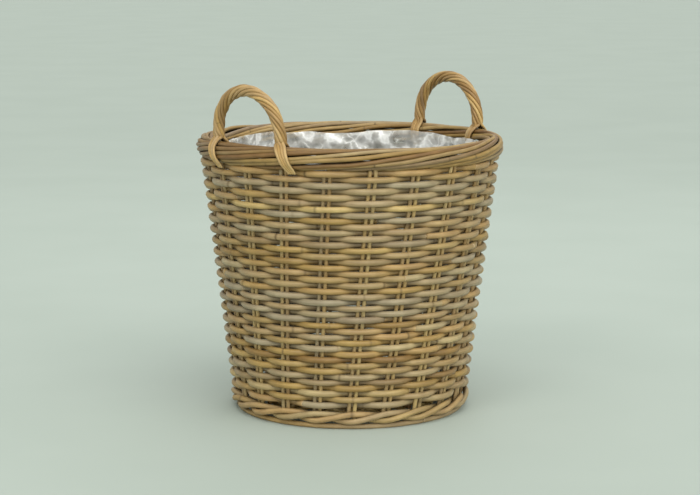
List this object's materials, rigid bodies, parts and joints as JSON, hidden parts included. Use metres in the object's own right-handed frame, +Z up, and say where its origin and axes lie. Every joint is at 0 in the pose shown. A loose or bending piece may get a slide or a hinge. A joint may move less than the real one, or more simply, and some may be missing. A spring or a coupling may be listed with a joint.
{
  "type": "wicker log basket",
  "caption": "Tall round wicker log basket woven over paired stakes, with a rolled border, two twisted rope handles and a clear film liner.",
  "frame": {"origin": "centre of the foot, on the floor", "axes": "+Z up; -Y is the front, the side the camera sees; +X is to the right of the front"},
  "size_m": [0.4489, 0.4493, 0.4884],
  "materials": {
    "weaver_cane": "matte natural cane, colour varying from golden tan to grey-brown",
    "stake_cane": "matte natural cane",
    "foot_cane": "matte natural cane",
    "base_cane": "matte natural cane",
    "handle_cane": "satin golden cane",
    "liner_film": "clear crumpled film"
  },
  "bodies": {
    "root": {"stake_pair_01": "stake_cane", "stake_pair_02": "stake_cane", "stake_pair_03": "stake_cane", "stake_pair_04": "stake_cane", "stake_pair_05": "stake_cane", "stake_pair_06": "stake_cane", "stake_pair_07": "stake_cane", "stake_pair_08": "stake_cane", "stake_pair_09": "stake_cane", "stake_pair_10": "stake_cane", "stake_pair_11": "stake_cane", "stake_pair_12": "stake_cane", "stake_pair_13": "stake_cane", "stake_pair_14": "stake_cane", "stake_pair_15": "stake_cane", "stake_pair_16": "stake_cane", "stake_pair_17": "stake_cane", "stake_pair_18": "stake_cane", "stake_pair_19": "stake_cane", "stake_pair_20": "stake_cane", "stake_pair_21": "stake_cane", "weaver_cane_01": "weaver_cane", "weaver_cane_02": "weaver_cane", "weaver_cane_03": "weaver_cane", "weaver_cane_04": "weaver_cane", "weaver_cane_05": "weaver_cane", "weaver_cane_06": "weaver_cane", "weaver_cane_07": "weaver_cane", "weaver_cane_08": "weaver_cane", "weaver_cane_09": "weaver_cane", "weaver_cane_10": "weaver_cane", "weaver_cane_11": "weaver_cane", "weaver_cane_12": "weaver_cane", "weaver_cane_13": "weaver_cane", "weaver_cane_14": "weaver_cane", "weaver_cane_15": "weaver_cane", "weaver_cane_16": "weaver_cane", "weaver_cane_17": "weaver_cane", "weaver_cane_18": "weaver_cane", "weaver_cane_19": "weaver_cane", "weaver_cane_20": "weaver_cane", "weaver_cane_21": "weaver_cane", "foot_wale_strand_1": "foot_cane", "foot_wale_strand_2": "foot_cane", "foot_wale_strand_3": "foot_cane", "foot_hoop": "foot_cane", "base_cane_1": "base_cane", "base_cane_2": "base_cane", "base_cane_3": "base_cane", "base_sticks_lower": "base_cane", "base_sticks_upper": "base_cane", "handle_left_strand_1": "handle_cane", "handle_left_strand_2": "handle_cane", "handle_left_strand_3": "handle_cane", "handle_left_strand_4": "handle_cane", "handle_right_strand_1": "handle_cane", "handle_right_strand_2": "handle_cane", "handle_right_strand_3": "handle_cane", "handle_right_strand_4": "handle_cane", "film_liner": "liner_film"}
  },
  "joints": []
}
